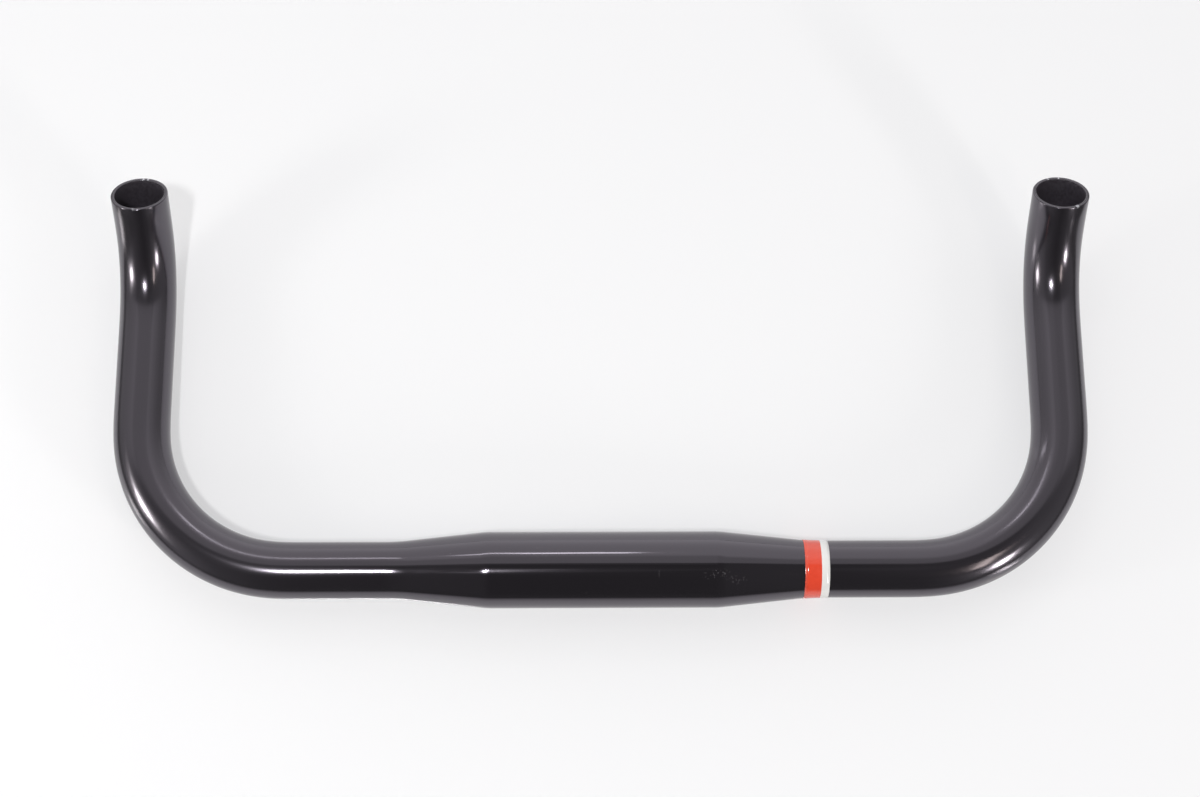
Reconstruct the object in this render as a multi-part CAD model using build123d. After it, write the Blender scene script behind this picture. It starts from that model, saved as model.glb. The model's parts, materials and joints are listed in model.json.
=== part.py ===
# A bullhorn handlebar: one swaged and bent aluminium tube, open at both tips, with a printed band on one grip.
# Millimetres and degrees. Origin at the centre of the stem clamp, +X along the clamp, +Y to the horns, +Z up.
# The bar lies as it comes to rest: on the underside of the middle and on the undersides of both horns.
import os
from math import asin, atan2, degrees, hypot, isclose

from build123d import *

# Tube sections
clamp_dia = 31.8            # middle that the stem grips
grip_dia = 23.8             # grips, bends, horns and tips
grip_wall = 1.6             # wall of the grips, horns and tips
clamp_wall = 2.0            # thicker wall of the middle

# Runs along the middle, each side of the centre
clamp_half = 48.5           # straight middle, to the corner of the taper
taper_length = 37.0         # cone from the middle down to the grip
shoulder_blend = 44.0       # rounding where the middle meets the cone
foot_blend = 96.0           # softer rounding where the cone meets the grip
grip_length = 47.5          # straight grip, from the taper to the bend

# Horns
bend_radius = 62.0          # centreline of the forward bend
bend_angle = 90.0
horn_length = 49.0          # straight horn between the two bends
rise_radius = 42.5          # centreline of the upward bend
rise_angle = 56.0
tip_length = 16.5           # straight tip
mouth_round = 0.5           # rounded edges of the cut tips

# Printed band
band_width = 10.2           # red field and white field together
band_thickness = 0.12
band_clearance = 0.03       # between the tube and the band
band_slit = 1.5             # gap where the ends of the band meet, on the underside
band_inset = 2.1            # how far the band starts inside the foot of the taper

# Sizes that follow
clamp_radius = clamp_dia / 2
grip_radius = grip_dia / 2
bore_radius = grip_radius - grip_wall
clamp_bore_radius = clamp_radius - clamp_wall
taper_end = clamp_half + taper_length
bend_start = taper_end + grip_length


def half_section(middle_radius, end_radius):
    """Half of a bar seen from the side: a thick middle and a straight cone down to each end."""
    return make_face(
        Polyline(
            (-bend_start, 0),
            (-bend_start, end_radius),
            (-taper_end, end_radius),
            (-clamp_half, middle_radius),
            (clamp_half, middle_radius),
            (taper_end, end_radius),
            (bend_start, end_radius),
            (bend_start, 0),
            close=True,
        )
    )


def blended(face, corner, radius):
    """The same half section with the corners at that distance from the centre rounded."""
    return fillet([v for v in face.vertices() if isclose(abs(v.X), corner)], radius)


def radius_at(x, face):
    """The radius of a half section at x."""
    probe = Edge.make_line((x, 0), (x, clamp_dia))
    return face.face().intersect(probe).edges()[0].length


# Straight middle: clamp zone, tapers and grips, hollow from end to end
outside = blended(half_section(clamp_radius, grip_radius), clamp_half, shoulder_blend)
outside = blended(outside, taper_end, foot_blend)
hollow = half_section(clamp_bore_radius, bore_radius)
middle = revolve(outside - hollow, Axis.X)

# One horn: forward bend, straight horn, upward bend and straight tip
section = Circle(grip_radius) - Circle(bore_radius)
bend_plane = Plane(origin=(bend_start, 0, 0), x_dir=(0, 1, 0), z_dir=(1, 0, 0))
bend_axis = Axis((bend_start, bend_radius, 0), (0, 0, 1))
bend = revolve(bend_plane * section, bend_axis, bend_angle)

horn_way = Vector(1, 0, 0).rotate(Axis.Z, bend_angle)
horn_side = Vector(0, 1, 0).rotate(Axis.Z, bend_angle)
horn_foot = Vector(bend_start, bend_radius, 0) - horn_side * bend_radius
horn_plane = Plane(origin=horn_foot, x_dir=(0, 0, 1), z_dir=horn_way)
horn = extrude(horn_plane * section, horn_length)

rise_foot = horn_foot + horn_way * horn_length
rise_plane = Plane(origin=rise_foot, x_dir=(0, 0, 1), z_dir=horn_way)
rise_axis = Axis(rise_foot + Vector(0, 0, rise_radius), horn_side * -1)
rise = revolve(rise_plane * section, rise_axis, rise_angle)

tip_way = horn_way.rotate(Axis((0, 0, 0), horn_side * -1), rise_angle)
tip_up = Vector(0, 0, 1).rotate(Axis((0, 0, 0), horn_side * -1), rise_angle)
tip_foot = rise_foot + Vector(0, 0, rise_radius) - tip_up * rise_radius
tip_plane = Plane(origin=tip_foot, x_dir=tip_up, z_dir=tip_way)
tip = extrude(tip_plane * section, tip_length)
mouth = tip.faces().sort_by(Axis((0, 0, 0), tip_way))[-1]
tip = fillet(mouth.edges(), mouth_round)

right_side = bend + horn + rise + tip
left_side = mirror(right_side, Plane.YZ)

# The floor touches the middle and the undersides of the upward bends, so the bar dips a little to the horns
rest_tilt = degrees(
    atan2(rise_radius, rise_foot.Y)
    + asin((clamp_radius - rise_radius - grip_radius) / hypot(rise_foot.Y, rise_radius))
)
at_rest = Rot(-rest_tilt, 0, 0)
tube = at_rest * (middle + right_side + left_side)

# Printed band: a thin strip wrapped tight around the foot of the right taper, its ends meeting underneath
band_start = taper_end - band_inset
band_end = band_start + band_width
band_under_start = radius_at(band_start, outside) + band_clearance
band_under_end = radius_at(band_end, outside) + band_clearance
strip = make_face(
    Polyline(
        (band_start, band_under_start),
        (band_end, band_under_end),
        (band_end, band_under_end + band_thickness),
        (band_start, band_under_start + band_thickness),
        close=True,
    )
)
slit = Pos(band_start + band_width / 2, 0, -clamp_radius) * Box(2 * band_width, band_slit, clamp_dia)
band = at_rest * (revolve(strip, Axis.X) - slit)

os.makedirs("parts", exist_ok=True)
for name, shape in (("handlebar_tube", tube), ("label_band", band)):
    solids = shape.solids()
    print(name, len(solids), "solid", round(sum(s.volume for s in solids), 1), "mm3")
    export_step(solids[0] if len(solids) == 1 else shape, f"parts/{name}.step")

right_mouth = at_rest * Pos(tip_foot + tip_way * tip_length)
print("rest tilt", round(rest_tilt, 3), "degrees")
print("right mouth at", [round(c, 3) for c in right_mouth.position])
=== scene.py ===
# %% [markdown]
# # A bullhorn handlebar in gloss black
#
# The real bar is one aluminium tube. Its middle is thick where a stem clamps it, it tapers to the grips,
# bends forward on both sides, and each horn turns up to an open tip. A printed band is wrapped round one
# grip.
#
# What a new Blender file holds is removed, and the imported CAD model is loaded, so that every piece made
# here shares its frame, in metres.

# %% Load the frame
import json
from math import asin, atan2, cos, degrees, hypot, pi, radians, sin, tan

import bmesh
import bpy
from mathutils import Matrix, Vector

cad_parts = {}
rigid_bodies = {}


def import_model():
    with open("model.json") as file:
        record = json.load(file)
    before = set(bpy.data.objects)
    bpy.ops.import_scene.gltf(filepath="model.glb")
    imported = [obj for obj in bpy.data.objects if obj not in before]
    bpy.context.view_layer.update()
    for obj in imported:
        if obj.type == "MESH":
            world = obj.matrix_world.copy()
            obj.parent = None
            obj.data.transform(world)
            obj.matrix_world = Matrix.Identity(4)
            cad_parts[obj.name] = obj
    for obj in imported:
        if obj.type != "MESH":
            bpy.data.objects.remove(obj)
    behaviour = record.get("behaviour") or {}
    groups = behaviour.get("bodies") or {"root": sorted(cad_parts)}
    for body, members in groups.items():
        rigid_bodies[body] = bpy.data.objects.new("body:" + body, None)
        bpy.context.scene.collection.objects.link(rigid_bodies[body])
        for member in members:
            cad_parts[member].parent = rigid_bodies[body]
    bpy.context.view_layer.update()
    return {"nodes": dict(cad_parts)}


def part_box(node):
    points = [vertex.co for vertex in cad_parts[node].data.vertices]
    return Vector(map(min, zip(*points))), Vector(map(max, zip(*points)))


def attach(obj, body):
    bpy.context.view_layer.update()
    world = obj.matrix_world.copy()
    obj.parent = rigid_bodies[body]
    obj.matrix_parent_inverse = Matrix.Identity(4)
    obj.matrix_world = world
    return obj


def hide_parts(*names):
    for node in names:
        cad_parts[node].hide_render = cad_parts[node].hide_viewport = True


for leftover in list(bpy.data.objects):
    bpy.data.objects.remove(leftover)
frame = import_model()
floor_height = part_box("handlebar_tube")[0].z
studio = bpy.context.scene


def mm(metres, digits=2):
    """A length in millimetres, rounded for printing."""
    return round(metres * 1000, digits)


print("nodes", sorted(frame["nodes"]), "floor at", mm(floor_height), "mm")

# %% [markdown]
# ## The camera
#
# The photo was taken from in front of the bar and steeply from above. A camera could be pushed about by
# hand until it fits, but a target, a distance and three angles say the same thing in a way that can be
# read.

# %% Camera
look_at = Vector((-0.00064, 0.07438, -0.00266))
camera_distance = 0.91689
camera_side, camera_height, camera_roll = radians(-2.559), radians(75.513), radians(2.341)
focal_length_mm, sensor_width_mm = 64.48, 36.0

camera_turn = (
    Matrix.Rotation(camera_side, 4, "Z")
    @ Matrix.Rotation(radians(90) - camera_height, 4, "X")
    @ Matrix.Rotation(camera_roll, 4, "Z")
)
step_back = Matrix.Translation((0, 0, camera_distance))
lens = bpy.data.cameras.new("photo_camera")
lens.sensor_fit = "HORIZONTAL"
lens.sensor_width = sensor_width_mm
lens.lens = focal_length_mm
camera = bpy.data.objects.new("photo_camera", lens)
camera.matrix_world = Matrix.Translation(look_at) @ camera_turn @ step_back
studio.collection.objects.link(camera)
studio.camera = camera
print("camera at", [round(c, 3) for c in camera.matrix_world.translation])

# %% [markdown]
# ## The tube: one ring that travels
#
# A tube can be drawn as a curve with a bevel, but a curve keeps one section, and this bar swells in its
# middle. A maker starts from a straight tube and squeezes and bends it. The mesh is made in that order: a
# ring of points starts at the centre, is pulled along and squeezed for the taper, and is spun round for
# each bend.
#
# Each point also remembers where it would lie on the straight tube, so that a finish can follow the bends.

# %% Sizes of the tube, as in the CAD source, in metres
clamp_radius, grip_radius, wall = 0.0159, 0.0119, 0.0016
clamp_half, taper_length, grip_length = 0.0485, 0.037, 0.0475
shoulder_blend, foot_blend = 0.044, 0.096
bend_radius, bend_angle, horn_length = 0.062, radians(90), 0.049
rise_radius, rise_angle, tip_length = 0.0425, radians(56), 0.0165
bend_ease, rise_ease = 0.020, 0.020
taper_end = clamp_half + taper_length
bend_start = taper_end + grip_length
print("from the centre, the taper ends at", mm(taper_end), "mm and the grip at", mm(bend_start), "mm")

# %% The first ring
ring_points = 128
along_bar, forwards, upright = Vector((1, 0, 0)), Vector((0, 1, 0)), Vector((0, 0, 1))
tube = bmesh.new()
on_straight = tube.verts.layers.float_vector.new("on_straight_tube")
bmesh.ops.create_circle(tube, segments=ring_points, radius=clamp_radius)
stand_up = Matrix.Rotation(radians(90), 3, "Y")
bmesh.ops.rotate(tube, verts=tube.verts, cent=(0, 0, 0), matrix=stand_up)
for point in tube.verts:
    point[on_straight] = point.co
ring = tube.edges[:]
print("ring of", len(ring), "edges")


# %% How the ring moves
def ring_of(made):
    """The points and edges of the newest ring in what an operator made."""
    points = [g for g in made if isinstance(g, bmesh.types.BMVert)]
    known = set(points)
    edges = [g for g in made if isinstance(g, bmesh.types.BMEdge) and known.issuperset(g.verts)]
    return points, edges


def points_of(ring):
    """The points of a ring of edges, each of them once."""
    return list(dict.fromkeys(point for edge in ring for point in edge.verts))


def centre_of(points):
    """The middle of some points."""
    return sum((point.co for point in points), Vector()) / len(points)


def pull(ring, way, length, squeeze=1.0):
    """Extrudes the ring by a length along a way, and squeezes it about the bar's own axis."""
    points, edges = ring_of(bmesh.ops.extrude_edge_only(tube, edges=ring)["geom"])
    bmesh.ops.scale(tube, verts=points, vec=(1, squeeze, squeeze))
    bmesh.ops.translate(tube, verts=points, vec=way * length)
    for point in points:
        along, side, up = point[on_straight]
        point[on_straight] = (along + length, side * squeeze, up * squeeze)
    return edges


def bend(ring, axis, towards, radius, angle, ease, steps):
    """Spins the ring round a bend that tightens and loosens over a length at each end."""
    # An eased bend takes this much more room than an arc, and a tighter radius keeps the straights in place.
    radius -= ease**2 / (24 * radius)
    length = radius * angle + ease
    for step in range(steps):
        done = length * (step + 0.5) / steps
        tightness = min(1.0, done / ease, (length - done) / ease) / radius
        turned = tightness * length / steps
        points = points_of(ring)
        centre = centre_of(points) + towards / tightness
        made = bmesh.ops.spin(
            tube, geom=points + ring, cent=centre, axis=axis, angle=turned, steps=1, use_merge=False
        )
        points, ring = ring_of(made["geom_last"])
        towards = Matrix.Rotation(turned, 3, axis) @ towards
        for point in points:
            point[on_straight] += along_bar * (length / steps)
    return ring


print("centre of the first ring", [mm(c) for c in centre_of(points_of(ring))], "mm")

# %% [markdown]
# ## Middle and taper
#
# Between the thick middle and the slim grip the tube is a straight cone, with a small rounding at the
# shoulder and a softer one at the foot. The outline could be spun about the axis in one go, but the ring
# that is pulled along it can go on into the bends. Both roundings are arcs, so it takes small steps whose
# radius follows each arc.

# %% Middle, taper and grip
cone_angle = atan2(clamp_radius - grip_radius, taper_length)
arc_steps = 10


def profile():
    """Distances from the centre, and the radii there, where the tube's outline changes."""
    shoulder_start = clamp_half - shoulder_blend * tan(cone_angle / 2)
    foot_end = taper_end + foot_blend * tan(cone_angle / 2)
    yield shoulder_start, clamp_radius
    for step in range(1, arc_steps + 1):
        turned = cone_angle * step / arc_steps
        yield shoulder_start + shoulder_blend * sin(turned), clamp_radius - shoulder_blend * (1 - cos(turned))
    for step in range(arc_steps + 1):
        turned = cone_angle * (1 - step / arc_steps)
        yield foot_end - foot_blend * sin(turned), grip_radius + foot_blend * (1 - cos(turned))
    yield bend_start - bend_ease / 2, grip_radius


reached, radius = 0.0, clamp_radius
for distance, new_radius in profile():
    ring = pull(ring, along_bar, distance - reached, new_radius / radius)
    reached, radius = distance, new_radius
print("cone of", round(degrees(cone_angle), 2), "degrees, grip radius", mm(radius), "mm")

# %% [markdown]
# ## Forward bend, horn, upward bend and tip
#
# From the grip on, the section stays the same, so two bends and two pulls finish the half. A real tube
# doesn't go from straight to round at once, and a sudden change would show as a kink in every reflection.
# So each bend eases in and out: it is many small spins, each about its own centre. The other half is a
# mirror image. Only then does the skin get its wall, because the normals have to point outwards first.

# %% Bends and horns
bend_steps, rise_steps = 72, 60
ring = bend(ring, upright, forwards, bend_radius, bend_angle, bend_ease, bend_steps)
ring = pull(ring, forwards, horn_length - bend_ease / 2 - rise_ease / 2)
ring = bend(ring, along_bar, upright, rise_radius, rise_angle, rise_ease, rise_steps)
tip_way = Vector((0, cos(rise_angle), sin(rise_angle)))
ring = pull(ring, tip_way, tip_length - rise_ease / 2)
mouth = centre_of(points_of(ring))
tube_half = ring[0].verts[0][on_straight].x
print("right mouth before tilting", [mm(c) for c in mouth], "mm, half the tube", mm(tube_half), "mm")

# %% Mirror and wall
weld_distance, in_mouth_plane = 1e-6, 1e-4
half = tube.verts[:] + tube.edges[:] + tube.faces[:]
bmesh.ops.mirror(tube, geom=half, matrix=Matrix.Identity(4), merge_dist=weld_distance, axis="X")
bmesh.ops.remove_doubles(tube, verts=tube.verts, dist=weld_distance)
for point in tube.verts:
    if point.co.x < 0:
        along, side, up = point[on_straight]
        point[on_straight] = (-along, side, up)
bmesh.ops.recalc_face_normals(tube, faces=tube.faces)
outer_skin = set(tube.faces)
bmesh.ops.solidify(tube, geom=tube.faces[:], thickness=wall)
wall_faces = [face for face in tube.faces if face not in outer_skin]
mouth_faces = {
    face for face in wall_faces
    if abs((face.calc_center_median() - mouth).dot(tip_way)) < in_mouth_plane
}
print("faces", len(tube.faces), "outside", len(outer_skin), "on the two mouths", len(mouth_faces))

# %% [markdown]
# ## Rounded mouths
#
# The tips are cut off square and then deburred, which leaves a small rounded lip on both edges of the wall.
# A sharp edge would catch no light at all. A Bevel modifier could find the edges by their angle, but here
# they are known, so both circles of each mouth are bevelled into a round.

# %% Lips of the mouths
lip_radius, lip_steps = 0.0005, 5
inside_slot = 1


def borders_a_mouth(edge):
    """Whether an edge has a mouth's flat ring on one side only."""
    return len(edge.link_faces) == 2 and sum(face in mouth_faces for face in edge.link_faces) == 1


lips = [edge for edge in tube.edges if borders_a_mouth(edge)]
for face in wall_faces:
    if face not in mouth_faces:
        face.material_index = inside_slot
bmesh.ops.bevel(
    tube, geom=lips, offset=lip_radius, offset_type="OFFSET",
    segments=lip_steps, profile=0.5, affect="EDGES", material=-1,
)
for face in tube.faces:
    face.smooth = True
print("lip edges", len(lips), "faces now", len(tube.faces))

# %% [markdown]
# ## At rest
#
# The horns are slimmer than the middle, so a bar that is laid down tips forward a little, until the
# undersides of the upward bends touch the floor as well. The CAD source works the angle out in the same
# way. The object could be turned, but a finished piece stays unturned at the origin, so its points are
# turned instead.

# %% Lay the bar down
rise_foot = bend_radius + horn_length
reach = hypot(rise_foot, rise_radius)
rest_tilt = atan2(rise_radius, rise_foot) + asin((clamp_radius - rise_radius - grip_radius) / reach)
lay_down = Matrix.Rotation(-rest_tilt, 3, "X")
bmesh.ops.rotate(tube, verts=tube.verts, cent=(0, 0, 0), matrix=lay_down)


def piece_from(mesh, name):
    """Makes an object of a finished bmesh, at the origin."""
    data = bpy.data.meshes.new(name)
    mesh.to_mesh(data)
    mesh.free()
    made = bpy.data.objects.new(name, data)
    studio.collection.objects.link(made)
    triangles = sum(len(polygon.vertices) - 2 for polygon in data.polygons)
    print(name, "has", triangles, "triangles")
    return made


bar = piece_from(tube, "gloss_tube")
print("tilt", round(degrees(rest_tilt), 3), "degrees")

# %% [markdown]
# ## The printed band
#
# A thin film is wrapped round the foot of the right taper, with a red field and a white field. It could be
# painted on the tube by its material alone, but then its edge would have no thickness to catch light. So it
# is a strip of its own: an open ring with a slit underneath, pulled along the grip as the film's outer
# face. Then the film gets its thickness, inwards.

# %% Sizes of the band
band_start, band_width, band_red = 0.0834, 0.0102, 0.0069
band_gap, band_film, band_slit = 0.00003, 0.00012, 0.0015
band_turns, band_steps = 180, 6
band_step = band_width / band_steps
band_skin = band_gap + band_film


def tube_radius(distance):
    """The tube's outside radius at a distance from the centre, between the places of its profile."""
    before = (0.0, clamp_radius)
    for after in profile():
        if distance <= after[0]:
            share = (distance - before[0]) / (after[0] - before[0])
            return before[1] + share * (after[1] - before[1])
        before = after
    return grip_radius


def band_radius(step):
    """The radius of the film's outer face, so many steps along the band."""
    return tube_radius(band_start + band_step * step) + band_skin


print("band radius from", mm(band_radius(0), 3), "to", mm(band_radius(band_steps), 3), "mm")

# %% Strip round the tube
band = bmesh.new()
slit_angle = 2 * asin(band_slit / 2 / grip_radius)
slit_side, slit_depth = band_radius(0) * sin(slit_angle / 2), band_radius(0) * cos(slit_angle / 2)
first = band.verts.new((band_start, slit_side, -slit_depth))
round_angle = 2 * pi - slit_angle
bmesh.ops.spin(
    band, geom=[first], cent=(0, 0, 0), axis=along_bar, angle=round_angle, steps=band_turns, use_merge=False
)
hoop = band.edges[:]
for step in range(band_steps):
    points, hoop = ring_of(bmesh.ops.extrude_edge_only(band, edges=hoop)["geom"])
    squeeze = band_radius(step + 1) / band_radius(step)
    bmesh.ops.scale(band, verts=points, vec=(1, squeeze, squeeze))
    bmesh.ops.translate(band, verts=points, vec=along_bar * band_step)
print("strip of", len(band.faces), "faces")

# %% Film
bmesh.ops.recalc_face_normals(band, faces=band.faces)
some_face = band.faces[:][0]
from_axis = some_face.calc_center_median() * Vector((0, 1, 1))
if some_face.normal.dot(from_axis) < 0:
    bmesh.ops.reverse_faces(band, faces=band.faces)
bmesh.ops.solidify(band, geom=band.faces[:], thickness=band_film)
for face in band.faces:
    face.smooth = True
spread = [hypot(point.co.y, point.co.z) for point in band.verts]
volume = band.calc_volume(signed=True) * 1e9
print("film from", mm(min(spread), 3), "to", mm(max(spread), 3), "mm from the axis")
print("film of", round(volume, 1), "cubic millimetres, more than 0 if its faces point outwards")
bmesh.ops.rotate(band, verts=band.verts, cent=(0, 0, 0), matrix=lay_down)
label = piece_from(band, "printed_band")

# %% [markdown]
# ## How the finishes are wired
#
# A material is a small graph of nodes. It could be drawn by hand in the shader editor, but a script needs
# words for it. A few helpers add a node, set its values and link what comes from other nodes, so that each
# finish below reads as a list of what it does.

# %% Node helpers
def wire(tree, node, inputs):
    """Sets a node's inputs, or links those that are given another node's output."""
    for socket, value in inputs.items():
        if isinstance(value, bpy.types.NodeSocket):
            tree.links.new(value, node.inputs[socket])
        else:
            node.inputs[socket].default_value = value


def add(tree, kind, inputs=None, **settings):
    """Adds a node, sets it up and wires its inputs."""
    node = tree.nodes.new(kind)
    for name, value in settings.items():
        setattr(node, name, value)
    wire(tree, node, inputs or {})
    return node


def new_finish(name):
    """A material with only a surface shader and an output."""
    finish = bpy.data.materials.new(name)
    finish.use_nodes = True
    tree = finish.node_tree
    return finish, tree, tree.nodes["Principled BSDF"]


print("helpers for the nodes of Blender", bpy.app.version_string)


# %% Sums and mixes
def ranged(tree, value, low, high, to_low=0.0, to_high=1.0, smooth=True):
    """Maps a value from one range to another, and holds it at the ends."""
    kind = "SMOOTHSTEP" if smooth else "LINEAR"
    inputs = {"Value": value, "From Min": low, "From Max": high, "To Min": to_low, "To Max": to_high}
    return add(tree, "ShaderNodeMapRange", inputs, interpolation_type=kind).outputs["Result"]


def maths(tree, operation, first, second=0.0):
    """One sum on two values."""
    return add(tree, "ShaderNodeMath", {0: first, 1: second}, operation=operation).outputs[0]


def mixed(tree, share, first, second, kind="RGBA"):
    """Mixes two colours or values: a share of 0 gives the first, and 1 gives the second."""
    inputs = {"Factor": share, "A": first, "B": second}
    return add(tree, "ShaderNodeMix", inputs, data_type=kind).outputs["Result"]


def parts_of(tree, vector):
    """The X, Y and Z of a vector."""
    return add(tree, "ShaderNodeSeparateXYZ", {"Vector": vector}).outputs


noise_low, noise_high = 0.3, 0.7
print("most noise lies between", noise_low, "and", noise_high)

# %% [markdown]
# ## Gloss black
#
# The tube is black and polished, so almost all that the eye sees on it is reflection. The finish is a
# nearly black base under a strong, clear gloss that leans to purple, as dyed aluminium does. A picture
# could be laid over it, but a pattern of noise that is stretched along the tube has no seams and follows
# every bend. Drawing and polishing leave faint lines along the tube, so the gloss is a little duller in
# some lines than in others. Squeezing and bending stretch the skin and dull it, so the gloss gets softer
# from the tapers to the bends. A bent tube is never quite true, so its reflections waver.

# %% Gloss that follows the tube
polished_line, dull_line, stretched_extra = 0.07, 0.095, 0.09
waver_height = 0.00006
black, black_tree, black_surface = new_finish("gloss_black")
attribute = {"attribute_name": "on_straight_tube", "attribute_type": "GEOMETRY"}
on_tube = add(black_tree, "ShaderNodeAttribute", **attribute).outputs["Vector"]
from_centre = maths(black_tree, "ABSOLUTE", parts_of(black_tree, on_tube)["X"])


def noise_along(across, along, detail=1.0):
    """Noise on the straight tube, with so many patches per metre across it and along it."""
    stretch = {"Vector": on_tube, "Scale": (along, across, across)}
    stretched = add(black_tree, "ShaderNodeMapping", stretch).outputs["Vector"]
    noise = {"Vector": stretched, "Scale": 1.0, "Detail": detail}
    return add(black_tree, "ShaderNodeTexNoise", noise).outputs["Fac"]


lines = noise_along(across=700.0, along=9.0, detail=2.0)
lined = ranged(black_tree, lines, noise_low, noise_high, polished_line, dull_line)
stretched_skin = ranged(black_tree, from_centre, clamp_half, bend_start + bend_ease, 0.0, stretched_extra)
gloss = maths(black_tree, "ADD", lined, stretched_skin)
waver = noise_along(across=70.0, along=26.0)
uneven = {"Height": waver, "Strength": 1.0, "Distance": waver_height}
bump = add(black_tree, "ShaderNodeBump", uneven).outputs["Normal"]
purple_gloss = (0.945, 0.87, 1.0, 1)
wire(black_tree, black_surface, {"Normal": bump, "IOR": 2.0, "Specular Tint": purple_gloss})
print("roughness from", polished_line, "on the middle to", dull_line + stretched_extra, "on the bends")

# %% [markdown]
# ## Handling marks
#
# The real bar has been handled: there are faint flecks and a hairline on the thick middle, a few specks of
# dust, and bright spots on the lips where the black is chipped off. They could be painted on a picture, but
# that needs an unwrapped tube. So each mark is a mask: where it is, and how it is broken up. The masks are
# added up and turn the black into a dull grey, or into bare metal on the lips.

# %% Flecks and a hairline
worn_spots = (
    ((0.0465, -0.0052, 0.0150), (0.0080, 0.0030, 0.0050), 0.24),
    ((0.0560, -0.0075, 0.0135), (0.0060, 0.0030, 0.0050), 0.16),
    ((-0.0260, 0.0042, 0.0153), (0.0070, 0.0040, 0.0050), 0.10),
)
hairline_spot, hairline_size, hairline_strength = (0.0230, -0.0050, 0.0151), (0.0003, 0.0022, 0.0030), 0.08
patch_core = 0.35
fleck_from, fleck_to = 0.56, 0.68


def patch(spot, size):
    """A soft patch around a spot on the straight tube, with its own size along, across and up."""
    shifted = add(black_tree, "ShaderNodeVectorMath", {0: on_tube, 1: spot}, operation="SUBTRACT").outputs[0]
    shrunk = add(black_tree, "ShaderNodeVectorMath", {0: shifted, 1: size}, operation="DIVIDE").outputs[0]
    away = add(black_tree, "ShaderNodeVectorMath", {0: shrunk}, operation="LENGTH").outputs["Value"]
    return ranged(black_tree, away, patch_core, 1.0, 1.0, 0.0)


fleck_noise = noise_along(across=900.0, along=1100.0, detail=3.0)
flecks = ranged(black_tree, fleck_noise, fleck_from, fleck_to)
marks = maths(black_tree, "MULTIPLY", patch(hairline_spot, hairline_size), hairline_strength)
for spot, size, strength in worn_spots:
    spotted = maths(black_tree, "MULTIPLY", patch(spot, size), flecks)
    marks = maths(black_tree, "ADD", marks, maths(black_tree, "MULTIPLY", spotted, strength))
print(len(worn_spots), "worn spots and a hairline")

# %% Dust
specks_per_metre, bare_cells = 160.0, 0.82
speck_core, speck_edge, speck_strength = 0.012, 0.028, 0.5
specks = add(black_tree, "ShaderNodeTexVoronoi", {"Vector": on_tube, "Scale": specks_per_metre}).outputs
chance = parts_of(black_tree, specks["Color"])["X"]
few = maths(black_tree, "GREATER_THAN", chance, bare_cells)
dots = ranged(black_tree, specks["Distance"], speck_core, speck_edge, speck_strength, 0.0)
marks = maths(black_tree, "ADD", marks, maths(black_tree, "MULTIPLY", dots, few))
print("dust in", round(100 * (1 - bare_cells)), "of 100 cells, each", mm(1 / specks_per_metre), "mm wide")

# %% Chipped lips
chip_spots = (
    (-1, 0.00, -1.00, 0.0010), (-1, 0.20, -0.98, 0.0007), (-1, -0.08, 1.00, 0.0008),
    (1, 0.36, -0.93, 0.0007), (1, -0.06, -1.00, 0.0008), (1, -0.44, 0.90, 0.0011),
)
chip_reach = 0.0011
ragged_from, ragged_to = 0.42, 0.52
chipped = 0.0
for end, side, up, size in chip_spots:
    on_lip = (end * tube_half, side * grip_radius, up * grip_radius)
    chipped = maths(black_tree, "MAXIMUM", patch(on_lip, (size, size, size)), chipped)
ragged_noise = noise_along(across=1500.0, along=1500.0, detail=2.0)
ragged = ranged(black_tree, ragged_noise, ragged_from, ragged_to)
at_lip = ranged(black_tree, from_centre, tube_half - chip_reach, tube_half - lip_radius)
chipped = maths(black_tree, "MULTIPLY", maths(black_tree, "MULTIPLY", chipped, ragged), at_lip)
print(len(chip_spots), "chips on the lips, the half tube is", mm(tube_half), "mm along its axis")

# %% Colours of the tube
black_dye, dull_grey, bare_metal = (0.0034, 0.0027, 0.0036, 1), (0.22, 0.21, 0.22, 1), (0.62, 0.62, 0.66, 1)
marks_dull_gloss = 0.4
marked = mixed(black_tree, marks, black_dye, dull_grey)
dulled = maths(black_tree, "ADD", gloss, maths(black_tree, "MULTIPLY", marks, marks_dull_gloss))
colour = mixed(black_tree, chipped, marked, bare_metal)
wire(black_tree, black_surface, {"Base Color": colour, "Metallic": chipped, "Roughness": dulled})
print("gloss black has", len(black_tree.nodes), "nodes")

# %% [markdown]
# ## Inside of the tube
#
# The dye reaches the bore as well, but nobody polishes it, so the inside is a duller black with a fine
# grain. Its black is also painted lighter than the dye, as painted light for the little light that reaches
# into the bore. It could be a tube of its own, but wall and bore are one piece of metal. So it is the second
# material of the same piece, on the faces that the wall added.

# %% Dull inside
inside, inside_tree, inside_surface = new_finish("dull_inside")
# Both grain colours are painted lighter than the dye: painted light for the shaded inside of the tube.
dark_bore_painted_lighter, light_bore_painted_lighter = (0.042, 0.036, 0.045, 1), (0.060, 0.053, 0.066, 1)
smooth_grain, rough_grain, grains_per_metre = 0.42, 0.6, 900.0
on_object = add(inside_tree, "ShaderNodeTexCoord").outputs["Object"]
grains = {"Vector": on_object, "Scale": grains_per_metre}
grain = add(inside_tree, "ShaderNodeTexNoise", grains).outputs["Fac"]
grain_share = ranged(inside_tree, grain, noise_low, noise_high)
dull = mixed(inside_tree, grain_share, dark_bore_painted_lighter, light_bore_painted_lighter)
rough = ranged(inside_tree, grain, noise_low, noise_high, smooth_grain, rough_grain)
wire(inside_tree, inside_surface, {"Base Color": dull, "Roughness": rough})
bar.data.materials.append(black)
bar.data.materials.append(inside)
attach(bar, "root")
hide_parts("handlebar_tube")
print("tube finished with", [finish.name for finish in bar.data.materials])

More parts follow.
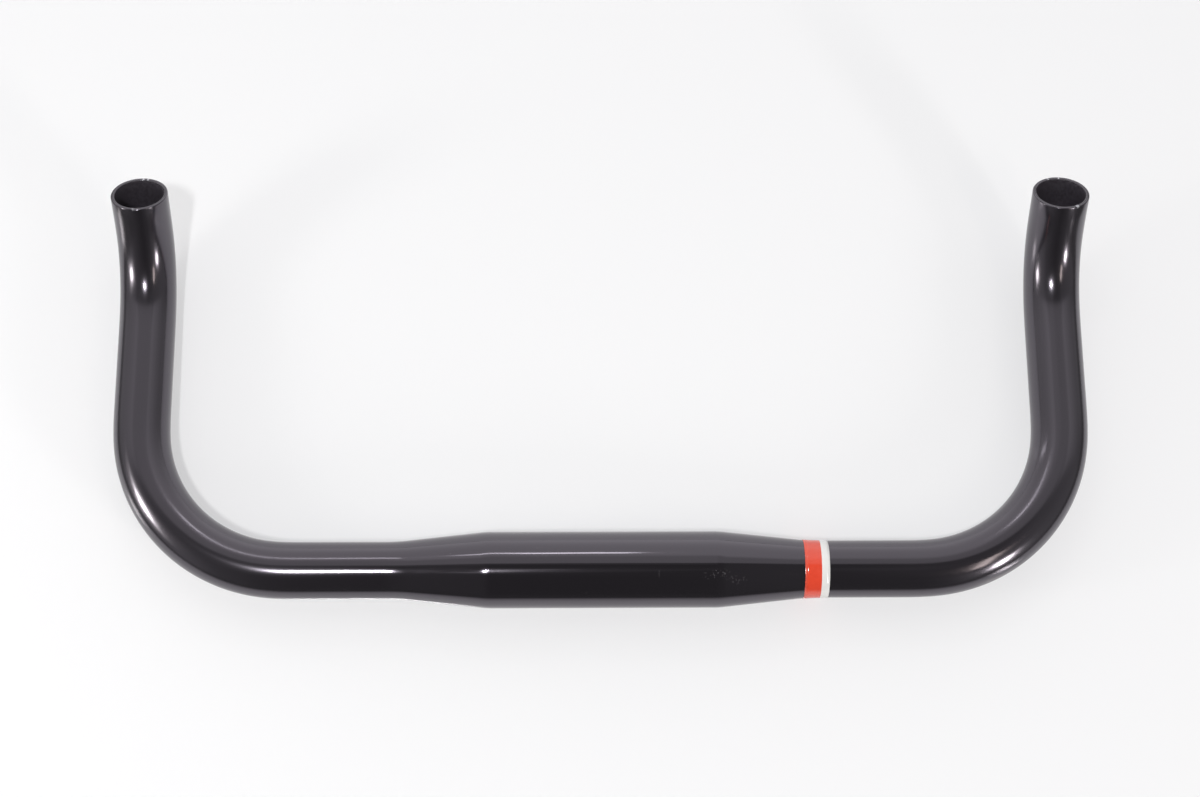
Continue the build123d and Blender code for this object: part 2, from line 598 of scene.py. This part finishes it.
# %% [markdown]
# ## Print on the band
#
# The band is a printed film: one field of red ink and one of white, under a clear gloss. It could be two
# strips, but the print lies on one film, so one material mixes the two colours at a line across the band.
# Ink never lies quite evenly, so fine noise shifts the red and the gloss a little.

# %% Printed finish
print_finish, print_tree, print_surface = new_finish("printed_fields")
deep_red, light_red = (0.77, 0.060, 0.024, 1), (0.83, 0.070, 0.029, 1)
ink_white = (0.86, 0.855, 0.84, 1)
ink_blur, smooth_ink, rough_ink, mottles_per_metre = 0.00008, 0.14, 0.18, 420.0
red_end = band_start + band_red
on_band = add(print_tree, "ShaderNodeTexCoord").outputs["Object"]
white_share = ranged(print_tree, parts_of(print_tree, on_band)["X"], red_end - ink_blur, red_end + ink_blur)
speckle = {"Vector": on_band, "Scale": mottles_per_metre, "Detail": 3.0}
mottle = add(print_tree, "ShaderNodeTexNoise", speckle).outputs["Fac"]
red = mixed(print_tree, mottle, deep_red, light_red)
fields = mixed(print_tree, white_share, red, ink_white)
ink_gloss = ranged(print_tree, mottle, noise_low, noise_high, smooth_ink, rough_ink)
wire(print_tree, print_surface, {"Base Color": fields, "Roughness": ink_gloss, "IOR": 1.75})
label.data.materials.append(print_finish)
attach(label, "root")
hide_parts("label_band")
print("red ends at", mm(red_end), "mm from the middle")

# %% [markdown]
# ## White floor
#
# The bar lies on a smooth white surface. It runs out of the picture on all sides, but the tube shows that
# it ends a little way in front of the bar and beside it, so only the camera sees it go on.
#
# More light would make the floor whiter, but it would also wash out the label. So almost half of what the
# camera and the reflections see of the floor is its own plain white, and the rest is lit and keeps the
# bar's soft shadow. From above the floor is matt, and from low down it mirrors the lamps, which draws the
# light lines on the sides of the tube.

# %% Floor
floor_reach = 40.0
ground = bmesh.new()
bmesh.ops.create_grid(ground, x_segments=1, y_segments=1, size=floor_reach)
bmesh.ops.translate(ground, verts=ground.verts, vec=(0, 0, floor_height))
floor = piece_from(ground, "floor")
print("floor at", mm(floor_height), "mm")

# %% Colour of the floor
floor_white, floor_blue, beyond_floor = 0.88, 1.015, 0.12
front_edge, front_full = -0.130, -0.045
side_full, side_edge = 0.270, 0.292
paper, floor_tree, floor_surface = new_finish("white_floor")
rays = add(floor_tree, "ShaderNodeLightPath").outputs
on_floor = parts_of(floor_tree, add(floor_tree, "ShaderNodeTexCoord").outputs["Object"])
far_enough = ranged(floor_tree, on_floor["Y"], front_edge, front_full)
from_middle = maths(floor_tree, "ABSOLUTE", on_floor["X"])
near_middle = ranged(floor_tree, from_middle, side_full, side_edge, 1.0, 0.0)
on_sheet = maths(floor_tree, "MULTIPLY", far_enough, near_middle)
shown = maths(floor_tree, "MAXIMUM", on_sheet, rays["Is Camera Ray"])
grey = (beyond_floor, beyond_floor, beyond_floor, 1)
white = (floor_white, floor_white, floor_white * floor_blue, 1)
pale = mixed(floor_tree, shown, grey, white)
print("in reflections the white ends", mm(-front_full), "mm in front and", mm(side_full), "mm to each side")

# %% Light of the floor
floor_share, plain_brightness = 0.46, 1.12
mirror_gloss, matt_gloss = 0.1, 0.6
floor_gloss = ranged(floor_tree, rays["Is Camera Ray"], 0.0, 1.0, mirror_gloss, matt_gloss)
wire(floor_tree, floor_surface, {"Base Color": pale, "Roughness": floor_gloss, "IOR": 2.0})
mirrored = maths(floor_tree, "MAXIMUM", rays["Is Glossy Ray"], rays["Is Transmission Ray"])
seen = maths(floor_tree, "MAXIMUM", rays["Is Camera Ray"], mirrored)
plain = add(floor_tree, "ShaderNodeEmission", {"Color": pale, "Strength": plain_brightness})
halves = {1: floor_surface.outputs["BSDF"], 2: plain.outputs["Emission"]}
halves["Fac"] = maths(floor_tree, "MULTIPLY", seen, floor_share)
lifted = add(floor_tree, "ShaderNodeMixShader", halves).outputs["Shader"]
wire(floor_tree, floor_tree.nodes["Material Output"], {"Surface": lifted})
floor.data.materials.append(paper)
print("floor of", floor_white, "white,", floor_share, "of it its own")

# %% [markdown]
# ## The room
#
# A polished black tube is a picture of the room around it. Behind the bar a white sheet curves up and over,
# almost to the top, and the side of the room behind the camera is dark. A photograph of a room could be
# wrapped around the scene, but three curves say the same: how bright the sheet is from the floor up, how it
# falls off to both sides, and how dark the rest of the room is. The camera itself sees a plain white
# backdrop in place of the room.

# %% A curve of brightness
def ramp(tree, value, low, high, stops):
    """A curve through a few stops, each a place between low and high and a brightness."""
    share = ranged(tree, value, low, high, smooth=False)
    node = add(tree, "ShaderNodeValToRGB", {"Fac": share})
    node.color_ramp.interpolation = "EASE"
    elements = node.color_ramp.elements
    while len(elements) < len(stops):
        elements.new(0.5)
    for element, (spot, level) in zip(elements, stops):
        element.position = (spot - low) / (high - low)
        element.color = (level, level, level, 1)
    return node.outputs["Color"]


sheet_upwards = (
    (0.0, 1.0), (0.1, 0.97), (0.2, 0.89), (0.3, 0.83), (0.4, 0.78),
    (0.6, 0.735), (0.8, 0.72), (0.88, 0.455), (1.0, 0.44),
)
sheet_sidewards = (
    (-1.0, 0.35), (-0.93, 0.50), (-0.85, 0.62), (-0.7, 0.72), (-0.5, 0.85), (-0.3, 0.97),
    (0.3, 0.97), (0.5, 0.84), (0.7, 0.67), (0.85, 0.50), (0.93, 0.36), (1.0, 0.22),
)
room_sidewards = (
    (-1.0, 0.55), (-0.8, 0.45), (-0.5, 0.23), (-0.2, 0.15), (0.0, 0.11),
    (0.18, 0.13), (0.32, 0.17), (0.5, 0.27), (1.0, 0.34),
)
print("sheet with", len(sheet_upwards), "stops upwards and", len(sheet_sidewards), "sidewards")

# %% World
sheet_brightness, backdrop_white = 1.32, 0.93
sheet_lean, sheet_blur = 0.17, 0.03
world = bpy.data.worlds.new("room")
studio.world = world
world.use_nodes = True
room_tree = world.node_tree
way = parts_of(room_tree, add(room_tree, "ShaderNodeTexCoord").outputs["Generated"])
past_top = maths(room_tree, "SUBTRACT", way["Y"], maths(room_tree, "MULTIPLY", way["Z"], sheet_lean))
behind = ranged(room_tree, past_top, -sheet_blur, sheet_blur)
sheet_up = ramp(room_tree, way["Z"], 0.0, 1.0, sheet_upwards)
sheet_side = ramp(room_tree, way["X"], -1.0, 1.0, sheet_sidewards)
sheet = maths(room_tree, "MULTIPLY", maths(room_tree, "MULTIPLY", sheet_up, sheet_side), sheet_brightness)
room = ramp(room_tree, way["X"], -1.0, 1.0, room_sidewards)
around = mixed(room_tree, behind, room, sheet, kind="FLOAT")
to_camera = add(room_tree, "ShaderNodeLightPath").outputs["Is Camera Ray"]
brightness = mixed(room_tree, to_camera, around, backdrop_white, kind="FLOAT")
wire(room_tree, room_tree.nodes["Background"], {"Color": (1, 1, 1, 1), "Strength": brightness})
print("room has", len(room_tree.nodes), "nodes")

# %% [markdown]
# ## Lamps
#
# Soft lamps make the bright spots on the bends, on the tips and along the bar: a softbox at the left, a
# window and a ceiling lamp far off on the right, a lamp high by the camera, a strip over the sheet with a
# brighter part, a lamp far off on the left, and a panel overhead. One rectangle has a hard rim, and a
# textured lamp is hard to read, so rectangles over each other make one lamp with a soft rim.

# %% A soft lamp
def softbox(name, place, aim, layers, lean=0.0, colour=(1, 1, 1)):
    """Layers of light that look at a point and lean by degrees, each with width, height and brightness."""
    turn = (aim - place).to_track_quat("-Z", "Y").to_matrix().to_4x4()
    turn = turn @ Matrix.Rotation(-radians(lean), 4, "Z")
    for width, height, radiance in layers:
        lamp = bpy.data.lights.new(name, "AREA")
        lamp.shape = "RECTANGLE"
        lamp.size, lamp.size_y = width, height
        lamp.energy = radiance * pi * width * height
        lamp.color = colour
        holder = bpy.data.objects.new(name, lamp)
        holder.matrix_world = Matrix.Translation(place) @ turn
        studio.collection.objects.link(holder)


bar_middle = Vector((0, 0.07, 0))
print("lamps look at", [mm(c) for c in bar_middle], "mm")

# %% Lamps in front of the bar
left_white, window_white, ceiling_yellow = (1.0, 0.98, 0.93), (1.0, 0.97, 0.94), (1.0, 0.9, 0.78)
left_layers = ((0.13, 0.17, 22.0), (0.23, 0.32, 2.5), (0.36, 0.46, 0.5))
window_layers = ((0.20, 0.50, 45.0), (0.36, 0.90, 3.0))
ceiling_layers = ((0.26, 1.1, 6.0),)
camera_layers = ((0.08, 0.25, 400.0), (0.45, 0.80, 0.4))
left_place, window_place = Vector((-0.83, -0.12, 0.28)), Vector((1.60, -1.44, 0.68))
ceiling_place, by_camera = Vector((1.52, -1.37, 2.10)), Vector((-0.405, -0.618, 2.6))
softbox("left_softbox", left_place, bar_middle, left_layers, lean=-40, colour=left_white)
softbox("far_window", window_place, bar_middle, window_layers, lean=25, colour=window_white)
softbox("far_ceiling_lamp", ceiling_place, bar_middle, ceiling_layers, lean=35, colour=ceiling_yellow)
softbox("lamp_by_camera", by_camera, bar_middle, camera_layers)
print("rectangles of light in front", len(bpy.data.lights))

# %% Lamps behind the bar and above it
strip_place, bright_place = Vector((-0.12, 0.62, 0.72)), Vector((-0.015, 0.62, 0.72))
strip_layers, bright_layers = ((0.34, 0.05, 3.6),), ((0.10, 0.05, 3.0),)
far_left_place, far_left_layers = Vector((-2.08, 1.54, 0.88)), ((0.15, 0.8, 3.0),)
panel_place, panel_count, panel_brightness = Vector((-0.24, 0.26, 0.72)), 6, 0.058
panel_width, panel_width_step = 0.24, 0.10
panel_depth, panel_depth_step = 0.10, 0.064
panel_layers = [
    (panel_width + panel_width_step * layer, panel_depth + panel_depth_step * layer, panel_brightness)
    for layer in range(panel_count)
]
softbox("strip_over_sheet", strip_place, bar_middle, strip_layers)
softbox("bright_part_of_strip", bright_place, bar_middle, bright_layers)
softbox("far_left_lamp", far_left_place, bar_middle, far_left_layers)
softbox("overhead_panel", panel_place, panel_place - upright, panel_layers)
studio.view_settings.view_transform = "Standard"
print("rectangles of light in all", len(bpy.data.lights))
